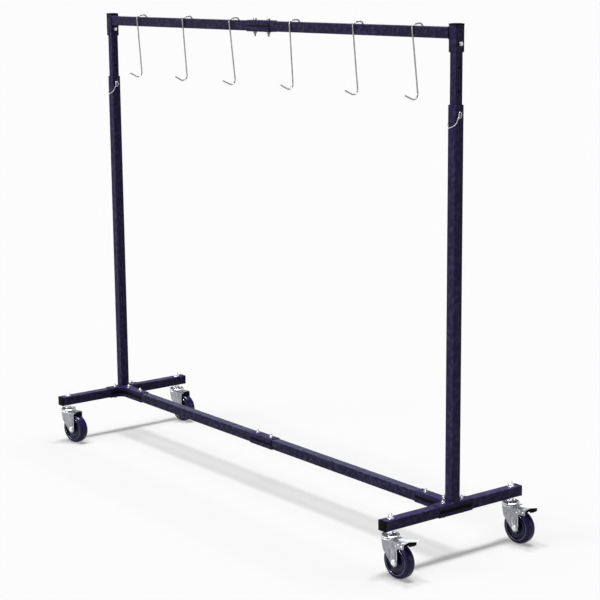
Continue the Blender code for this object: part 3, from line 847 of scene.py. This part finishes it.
def hook_path():
    """The hook's centre line in its own YZ plane, about the middle of the bar."""
    bend_y, bend_z = HOOK_LEG_Y - HOOK_CORNER, HOOK_TOP - HOOK_CORNER
    rise = math.radians(HOOK_TIP_RISE)
    line = [(HOOK_LEG_Y, -HOOK_BACK)]
    line += arc((bend_y, bend_z), HOOK_CORNER, 0, 90, 10)
    line += arc((-bend_y, bend_z), HOOK_CORNER, 90, 180, 10)
    line += [(-HOOK_LEG_Y, -HOOK_SHANK * k / 12) for k in range(1, 12)]
    line += arc((-HOOK_LEG_Y - HOOK_J, -HOOK_SHANK), HOOK_J, 0, -90 - HOOK_TIP_RISE, 16)
    y, z = line[-1]
    for k in (1, 2, 3):
        reach = HOOK_TIP * k / 3
        line.append((y - reach * math.cos(rise), z + reach * math.sin(rise)))
    return [(0, y, z) for y, z in line]


def hooks():
    for number, lean in enumerate(HOOK_LEANS, 1):
        name = f"hook_{number}"
        shape = bmesh.new()
        wire(shape, hook_path(), HOOK_WIRE, 16, move(middle(name).x, 0, BAR_Z) @ spin(lean, "X"))
        piece(name, solid(shape), name, "wire", name, sharp=60)


def lock_pins():
    """A pin head and tip, and the wire that eyes round the head and runs round the post to the tip."""
    half = TUBE / 2
    face, front, back = half + 0.0026, -half - 0.0037, -half - 0.0042
    route = (
        (face, -0.0052, -0.0082), (face, -0.0100, -0.0128), (face, -0.0142, -0.0205),
        (face, -0.0180, -0.0275), (half + 0.0010, front, -0.0335), (0.0120, front, -0.0385),
        (0.0020, front, -0.0425), (-0.0090, front, -0.0458), (-0.0185, front, -0.0470),
        (back - 0.0012, -0.0205, -0.0440), (back - 0.0016, -0.0160, -0.0340),
        (back - 0.0006, -0.0090, -0.0190), (back, -0.0030, -0.0065),
    )
    eye_steps, eye_start, eye_turn, eye_rise = 22, -28, 16.2, 0.0006
    eye = []
    for k in range(eye_steps + 1):
        angle = math.radians(eye_start + eye_turn * k)
        x = face - 0.0004 + eye_rise * k / eye_steps
        eye.append((x, PIN_EYE * math.sin(angle), -PIN_EYE_HEIGHT * math.cos(angle)))
    head = ((-WALL, PIN_R), (-0.0004, PIN_R), (0.0001, PIN_R - 0.0003), (0.0003, PIN_R - 0.0027))
    tip = ((-WALL, PIN_R), (0.0045, PIN_R), (0.0060, PIN_R - 0.0009), (0.0066, PIN_R - 0.0023))
    for end, _ in ENDS:
        name = f"lock_pin_{end}"
        place = move(POSTS[end], 0, PIN_Z)
        shape = bmesh.new()
        turned(shape, [(half + z, r) for z, r in head], 32, place @ spin(90, "Y"))
        turned(shape, [(-half - z, r) for z, r in tip], 32, place @ spin(90, "Y"))
        piece(f"{name}_ends", solid(shape), name, "pressing", name, sharp=40)
        shape = bmesh.new()
        wire(shape, eye + smooth_route(route, 6), PIN_WIRE, 12, place)
        piece(f"{name}_wire", solid(shape), name, "bright", name, sharp=40)


# ------------ casters

def stem_piece(name, place):
    """Threaded stem with its nuts, and the fixed upper race: a pressed dish with a raised rim."""
    low, high = BASE_Z - TUBE / 2 - FIT_GAP, BASE_Z + TUBE / 2 + FIT_GAP
    sides = 48
    bore_r = STEM_R + 0.0001
    rim = ((0.0, 0.0150), (0.0, 0.0030), (0.0008, 0.0010), (0.0022, 0.0), (0.0050, 0.0002), (0.0064, 0.0014),
           (0.0070, 0.0030), (0.0070, 0.0046), (0.0010, 0.0100), (0.0010, 0.0150))
    dish = ((0.0002, 0.0288), (0.0002, 0.0094), (0.0071, 0.0042), (0.0072, 0.0054), (0.0062, 0.0072),
            (0.0026, 0.0084), (0.0014, 0.0104), (0.0014, 0.0210), (0.0030, 0.0222), (0.0060, 0.0232),
            (0.0064, 0.0250), (0.0064, 0.0288))
    shape, hollow = bmesh.new(), bmesh.new()
    for holder, steps in ((shape, rim), (hollow, dish)):
        turned(holder, [(RACE_LOW + z, RACE_R - inset) for z, inset in steps], sides, place, closed=True)
    # The dish inside the rim is dark zinc: a painted shade under the tube.
    piece(f"{name}_dish", solid(hollow), "base", "painted_shade", name, sharp=30)
    rings = [ring(RACE_LOW - 0.0006, STEM_R, sides), ring(low - 0.009, STEM_R, sides)]
    rings += thread_rings(low - 0.0088, high + 0.018, STEM_R, sides)
    rings.append(ring(high + 0.0188, STEM_R - 0.0014, sides))
    skin(shape, rings, place)
    lower_nut, upper_nut = (low - 0.0085, low, 0.0095), (high + 0.0022, high + 0.0115, 0.0092)
    for start, end, half in (lower_nut, upper_nut):
        nut = hexagon_rings(start, end, half, sides, high_chamfer=end > high)
        skin(shape, nut + [ring(end, bore_r, sides), ring(start, bore_r, sides)], place, closed=True)
    washer = ((0.0, 0.0064), (0.0, 0.0130), (0.0017, 0.0130), (0.0020, 0.0127), (0.0020, 0.0064))
    turned(shape, [(high + z, r) for z, r in washer], sides, place, closed=True)
    piece(name, solid(shape), "base", "bright", name, sharp=30)


def leg_edges(z):
    """The front and back edge of a fork leg at a height."""
    knee_x, knee_z = LEG_KNEE
    if z > knee_z:
        slant = knee_x - LEG_LEAN * min(1.0, (z - knee_z) / LEG_LEAN_HEIGHT)
    else:
        slant = knee_x + (knee_z - z) * LEG_SLOPE
    chord = math.sqrt(max(0.0, LEG_END ** 2 - (WHEEL_R - z) ** 2))
    front = slant if z > LEG_FOOT_TOP else TRAIL - chord
    back = TRAIL + (LEG_END if z > WHEEL_R else chord)
    return front, back


def ramp(value, low, high):
    """0 up to the low value, 1 from the high one, and even between."""
    return min(1.0, max(0.0, (value - low) / (high - low)))


def leg_rings(side):
    """Sections of a pressed fork leg, from its round end up: its front edge is rolled in, its face sunk."""
    chamfer = 0.0002
    heights = [WHEEL_R - LEG_END * math.cos(math.radians(a)) for a in range(12, 91, 13)]
    heights += [0.070, 0.074, 0.076, 0.078, 0.086, 0.094, 0.099, 0.103, 0.107, 0.111, 0.118, 0.126, 0.132,
                0.134, 0.136, 0.140]
    rings = []
    for z, tuck in [(z, 0.0) for z in heights] + [(0.1418, 0.0006), (0.1430, 0.0016), (0.1437, 0.0030)]:
        front, back = leg_edges(z)
        roll = 0.0028 + 0.0017 * ramp(z, 0.070, 0.085) + 0.0035 * ramp(z, 0.099, 0.111)
        sunk = 0.0010 * ramp(z, 0.074, 0.078) * (1 - ramp(z, 0.132, 0.136))
        outer = FORK_HALF - tuck
        inner = FORK_HALF - LEG_SHEET - tuck * 0.5
        start = front + roll
        ridge = max(start + chamfer, 0.027)
        ridge = min(ridge, back - 0.0050 if back - start > 0.008 else start + chamfer)
        span = back - 0.0004 - ridge
        face = [(ridge, outer), (ridge + 0.10 * span, outer - sunk), (ridge + 0.80 * span, outer - sunk),
                (ridge + 0.88 * span, outer), (back - 0.0006, outer), (back, outer - 0.0006), (back, inner)]
        corner = (start, outer - roll)
        edge = arc(corner, roll, 180, 90, 6)
        inside = [(x, min(y, inner)) for x, y in arc(corner, roll - LEG_SHEET, 90, 180, 6)]
        rings.append([(x, side * y, z) for x, y in edge + face + inside])
    return rings


def prism(shape, outline, low, high, place):
    """Add a plate: an outline in the caster's XZ plane, from one Y to another."""
    skin(shape, [[(x, y, z) for x, z in outline] for y in (low, high)], place)


def round_outline(points, radius):
    """The same outline with each of its corners rounded."""
    steps = 4
    outline = []
    for before, here, after in zip(points[-1:] + points[:-1], points, points[1:] + points[:1]):
        here = Vector(here)
        back, ahead = Vector(before) - here, Vector(after) - here
        reach = min(radius, back.length * 0.45, ahead.length * 0.45)
        start, end = here + back.normalized() * reach, here + ahead.normalized() * reach
        for k in range(steps + 1):
            t = k / steps
            outline.append(tuple(start * (1 - t) ** 2 + here * 2 * t * (1 - t) + end * t ** 2))
    return outline


def plate(outline, low, high, place, rounding):
    """A plate of its own, with the corners of its outline rounded."""
    shape = bmesh.new()
    prism(shape, round_outline(outline, rounding), low, high, place)
    return solid(shape)


def fork_pressing(place, housing):
    """The fork's sheet: two legs under a crown, with side plates that house the brake."""
    thing = None
    for side in (-1, 1):
        shape = bmesh.new()
        skin(shape, leg_rings(side), place)
        leg = solid(shape)
        thing = combine(thing, leg, "UNION") if thing else leg
    rear = TRAIL + LEG_END
    half = FORK_HALF - 0.0018
    crown = round_outline(corners(CROWN_FRONT, -half, TRAIL if housing else rear - 0.001, half), 0.006)
    shape = bmesh.new()
    skin(shape, [[(x, y, z) for x, y in crown] for z in (CROWN_TOP - 0.0028, CROWN_TOP - 0.0001)], place)
    thing = combine(thing, solid(shape), "UNION")
    if housing:
        low_z, high_z = CROWN_TOP - 0.0285, CROWN_TOP + 0.0008
        outline = [(HOUSING_FRONT, low_z), (rear - 0.004, low_z), (rear + 0.005, 0.1210),
                   (HOUSING_END, 0.1243), (HOUSING_END, high_z), (HOUSING_FRONT, high_z)]
        for low, high in both_sides(FORK_HALF - LEG_SHEET + 0.0002, FORK_HALF - 0.0001):
            thing = combine(thing, plate(outline, low, high, place, 0.003), "UNION")
    return thing


def fork_fittings(place, housing, lip_heights):
    """The lower race, the axle bolt, the lips of the legs and the rivets of the brake housing."""
    shape = bmesh.new()
    low = CROWN_TOP - 0.0050
    band = ((0.0004, 0.0150), (0.0, 0.0088), (0.0008, 0.0050), (0.0022, 0.0010), (0.0040, 0.0),
            (0.0056, 0.0004), (0.0064, 0.0016), (0.0066, 0.0040), (0.0058, 0.0150))
    turned(shape, [(low + z, RACE_R - inset) for z, inset in band], 64, place, closed=True)
    upright = place @ move(TRAIL, 0, WHEEL_R) @ spin(90, "X")
    base = FORK_HALF + 0.0001
    washer = ((0.0, 0.0064), (0.0, 0.0112), (0.0013, 0.0112), (0.0016, 0.0109), (0.0016, 0.0064))
    for outwards in (upright @ spin(180, "X"), upright):
        turned(shape, [(base + z, r) for z, r in washer], 48, outwards, closed=True)
        head = hexagon_rings(base + 0.0017, base + 0.0058, 0.0080, 48, low_chamfer=False)
        skin(shape, head + [ring(base + 0.0062, 0.0052, 48)], outwards)
    axle_half = FORK_HALF + 0.0016
    skin(shape, (ring(-axle_half, 0.0060, 32), ring(axle_half, 0.0060, 32)), upright)
    # Lips along each leg: wires in bright zinc on the dull pressing, a real lip with a painted highlight.
    for side in (-1, 1):
        for inset, size in ((0.0014, 0.0012), (0.0290, 0.0010)):
            line = []
            for z in lip_heights:
                front, back = leg_edges(z)
                if back - inset > front + 0.004:
                    line.append((back - inset, side * (FORK_HALF - 0.0003), z))
            wire(shape, line, size, 10, place)
    if housing:
        for x, z, size in ((0.0690, 0.1370, 0.0030), (0.0860, 0.1335, 0.0034), (0.0560, 0.1285, 0.0026)):
            dome = ((-0.0008, 1.0), (0.0006, 1.0), (0.0014, 0.86), (0.0020, 0.55), (0.0022, 0.2))
            for side in (-1, 1):
                outwards = place @ move(x, 0, z) @ spin(90 * side, "X")
                turned(shape, [(FORK_HALF + rise, size * wide) for rise, wide in dome], 24, outwards)
    return solid(shape)


def leg_shadow_strips(place, low_z, high_z):
    """Two dark strips down the outer face of each leg: painted shadow lines."""
    wide = 0.0016
    shape = bmesh.new()
    for low, high in both_sides(FORK_HALF - 0.0006, FORK_HALF + 0.0002):
        for inset in (0.0052, 0.0092):
            start = TRAIL + LEG_END - inset
            prism(shape, corners(start, low_z, start + wide, high_z), low, high, place)
    return solid(shape)


def bump_block(place):
    """The black block behind a fork without a brake, with a groove across its back."""
    outline = [(0.0600, 0.1292), (0.0755, 0.1282), (0.0763, 0.1400), (0.0743, 0.1468), (0.0665, 0.1468),
               (0.0640, 0.1435), (0.0600, 0.1425)]
    block = plate(outline, -BLOCK_HALF, BLOCK_HALF, place, 0.0020)
    groove = bmesh.new()
    prism(groove, corners(0.0700, 0.1330, 0.0780, 0.1350), -BLOCK_HALF - 0.0012, BLOCK_HALF + 0.0012, place)
    return combine(block, solid(groove))


def fork(tag, place, housing):
    body, node = f"caster_{tag}", f"caster_fork_{tag}"
    lip_low, lip_high = 0.078, 0.108 if housing else 0.136
    lip_heights = [lip_low + (lip_high - lip_low) * k / 6 for k in range(7)]
    piece(node, fork_pressing(place, housing), body, "pressing", node, bevel=0.0004, sharp=40)
    piece(f"caster_race_{tag}", fork_fittings(place, housing, lip_heights), body, "bright", node, sharp=35)
    # Dark strips down the legs: painted shadow lines.
    shadow_strips = leg_shadow_strips(place, lip_low + 0.002, lip_high - 0.002)
    piece(f"leg_shadow_strip_{tag}", shadow_strips, body, "painted_shade", node, sharp=40)
    if not housing:
        piece(f"bump_block_{tag}", bump_block(place), body, "plastic", node, bevel=0.0006, sharp=40)


def wheel(tag, place):
    """Tyre with rounded shoulders and a line moulded near its edge, on a core with sunk sides and a hub."""
    tyre = ((0.0452, 0.0150), (0.0464, 0.0178), (0.0476, 0.0188), (0.0492, 0.0190), (0.0526, 0.0190),
            (0.0530, 0.0186), (0.0534, 0.0180), (0.0541, 0.0180), (0.0545, 0.0186), (0.0550, 0.0190),
            (0.0578, 0.0189), (0.0596, 0.0182), (0.0612, 0.0170), (0.0626, 0.0153), (0.0637, 0.0131),
            (0.0645, 0.0104), (0.0649, 0.0072), (0.0650, 0.0035))
    core = ((0.0066, 0.0190), (0.0066, HUB_HALF), (0.0126, HUB_HALF), (0.0136, HUB_HALF - 0.0007),
            (0.0142, 0.0190), (0.0152, 0.0128), (0.0168, 0.0118), (0.0290, 0.0118), (0.0300, 0.0126),
            (0.0312, 0.0126), (0.0322, 0.0118), (0.0400, 0.0118), (0.0428, 0.0124), (0.0444, 0.0140),
            (0.0452, 0.0152))
    beads = ((0.0488, 0.0188, 0.0020), (0.0306, 0.0122, 0.0014))
    body = node = f"wheel_{tag}"
    upright = place @ move(TRAIL, 0, WHEEL_R) @ spin(90, "X")
    for name, half, paint in (("tyre", tyre, "tread"), ("core", core, "core")):
        profile = [(-y, r) for r, y in half] + [(y, r) for r, y in half[::-1]]
        shape = bmesh.new()
        turned(shape, profile, 96, upright, closed=True)
        piece(f"wheel_{name}_{tag}", solid(shape), body, paint, node, sharp=38)
    shape = bmesh.new()
    for side in (-1, 1):
        for radius, face, size in beads:
            bead = [(side * y, r) for r, y in arc((radius, face), size, 0, 330, 11)]
            turned(shape, bead, 96, upright, closed=True)
    piece(f"wheel_beads_{tag}", solid(shape), body, "gloss", node, sharp=60)
    face = HUB_HALF + 0.0001
    cover = ((-0.0008, 0.0068), (0.0, 0.0068), (0.0002, 0.0090), (-0.0002, 0.0112), (-0.0008, 0.0114))
    shape = bmesh.new()
    for outwards in (upright @ spin(180, "X"), upright):
        turned(shape, [(face + y, r) for y, r in cover], 48, outwards, closed=True)
    piece(f"bearing_cover_{tag}", solid(shape), body, "pressing", node, sharp=35)


def pedal(tag, place):
    """Pressed brake pedal: a plate turned up at its tip, two cheeks to the pivot, and a black pad below."""
    body, node = f"pedal_{tag}", f"brake_pedal_{tag}"
    edge = 0.0008
    top = smooth_route(((0.053, 0.1503), (0.066, 0.1507), (0.080, 0.1519), (0.096, 0.1541), (0.112, 0.1573),
                        (0.130, 0.1622), (0.1474, 0.1674)), 3)
    cheek = [(0.057, 0.1490), (0.0640, 0.1350), (0.0680, 0.1318), (0.0820, 0.1318), (0.0880, 0.1380),
             (0.1040, 0.1500), (0.1150, 0.1565)]
    pad = [(0.0855, 0.1480), (0.0875, 0.1330), (0.0930, 0.1330), (0.0990, 0.1390), (0.1040, 0.1390),
           (0.1070, 0.1355), (0.1150, 0.1365), (0.1210, 0.1405), (0.1210, 0.1570), (0.1090, 0.1540)]
    loops = []
    for x, z in top:
        half = 0.0150 - 0.0042 * ramp(x, 0.138, 0.1474) ** 2 - 0.0020 * ramp(-x, -0.062, -0.053)
        under = z - PEDAL_SHEET
        loops.append([(x, -half + edge, z), (x, half - edge, z), (x, half, z - edge), (x, half, under),
                      (x, -half, under), (x, -half, z - edge)])
    shape = bmesh.new()
    skin(shape, loops, place)
    thing = solid(shape)
    for low, high in both_sides(0.0126, 0.0148):
        thing = combine(thing, plate(cheek, low, high, place, 0.003), "UNION")
    rod_half = FORK_HALF - 0.0030
    pivot = move(PEDAL_PIVOT[0], 0, PEDAL_PIVOT[1]) @ spin(90, "X")
    shape = bmesh.new()
    turned(shape, ((-rod_half, 0.0050), (rod_half, 0.0050)), 24, place @ pivot)
    thing = combine(thing, solid(shape), "UNION")
    piece(node, thing, body, "pedal", node, bevel=0.0004, sharp=40)
    block = plate(pad, -PAD_HALF, PAD_HALF, place, 0.0012)
    piece(f"pedal_pad_{tag}", block, body, "plastic", node, bevel=0.0006, sharp=40)


def casters():
    for end, _ in ENDS:
        for side, _ in SIDES:
            tag = f"{end}_{side}"
            at = joint_place(f"caster_swivel_{tag}")
            axle = joint(f"wheel_spin_{tag}")["axis"]
            place = move(at.x, at.y, 0) @ Matrix.Rotation(math.atan2(-axle[0], axle[1]), 4, "Z")
            braked = end == "right"
            stem_piece(f"caster_stem_{tag}", place)
            fork(tag, place, braked)
            wheel(tag, place)
            if braked:
                pedal(tag, place)


# ------------ camera, floor and light

def camera():
    turn, dip, roll = (math.radians(angle) for angle in (CAMERA_TURN, CAMERA_DIP, CAMERA_ROLL))
    right = Vector((math.cos(turn), -math.sin(turn), 0))
    ahead = Vector((math.sin(turn), math.cos(turn), 0))
    look = ahead * math.cos(dip) - Vector((0, 0, math.sin(dip)))
    up = ahead * math.sin(dip) + Vector((0, 0, math.cos(dip)))
    across = right * math.cos(roll) + up * math.sin(roll)
    upward = up * math.cos(roll) - right * math.sin(roll)
    lens = bpy.data.cameras.new("camera")
    lens.lens = CAMERA_LENS
    lens.sensor_width = SENSOR
    lens.clip_end = CAMERA_REACH
    thing = put("camera", lens)
    turned_to = Matrix((across, upward, -look)).transposed().to_4x4()
    thing.matrix_world = Matrix.Translation(CAMERA_PLACE + Vector((RACK_MIDDLE, 0, BASE_Z))) @ turned_to
    bpy.context.scene.camera = thing


def floor():
    paint = Paint("floor_white", 0.9, specular=0.0)
    shade = paint.spread(paint.noise(2.0))
    colour = paint.mix(shade, (FLOOR_SHADE,) * 3, (FLOOR_SHADE * 0.995,) * 3)
    glow = {"Emission Color": (1, 1, 1, 1), "Emission Strength": FLOOR_GLOW}
    paint.feed(paint.shader, {"Base Color": colour, **glow})
    mesh = bpy.data.meshes.new("floor")
    sheet = corners(-FLOOR_SIZE, -FLOOR_SIZE, FLOOR_SIZE, FLOOR_SIZE)
    mesh.from_pydata([(x, y, 0) for x, y in sheet], [], [(0, 1, 2, 3)])
    mesh.materials.append(paint.material)
    put("floor", mesh)


def sun(name, way, power, spread):
    """A far, soft light that comes from a direction."""
    light = bpy.data.lights.new(name, "SUN")
    light.energy = power
    light.angle = math.radians(spread)
    put(name, light).rotation_euler = Vector(way).to_track_quat("Z", "Y").to_euler()


def sky():
    """Studio surroundings: bright at the horizon and front left, dim overhead and at the rear right."""
    world = bpy.data.worlds.new("world")
    bpy.context.scene.world = world
    world.use_nodes = True
    steps = Steps(world.node_tree)
    way = steps.add("TexCoord", {}).outputs["Generated"]
    dim_up = steps.spread(steps.height(way), SKY_RIM, SKY_TOP, 0.05, 0.60)
    facing = steps.add("VectorMath", {0: way, 1: SKY_BACK_WAY}, operation="DOT_PRODUCT").outputs["Value"]
    dim_back = steps.spread(facing, 1.0, SKY_BACK, -0.6, 0.8)
    strength = steps.product(dim_up, dim_back)
    steps.feed(steps.nodes["Background"], {"Color": (1.0, 1.0, 1.0, 1.0), "Strength": strength})


def lights():
    sky()
    for name, lean in TOP_LEANS.items():
        sun(name, (0.0, lean, 1.0), TOP_POWER / 3, TOP_SPREAD)
    sun("key", KEY_WAY, KEY_POWER, KEY_SPREAD)
    sun("rim", RIM_WAY, RIM_POWER, RIM_SPREAD)


# ------------ assembly

camera()
feet()
beams()
posts()
top_bars()
caps()
tee_shells()
splice_shells()
bolts()
hooks()
lock_pins()
casters()
floor()
lights()
bpy.context.scene.view_settings.view_transform = "Standard"
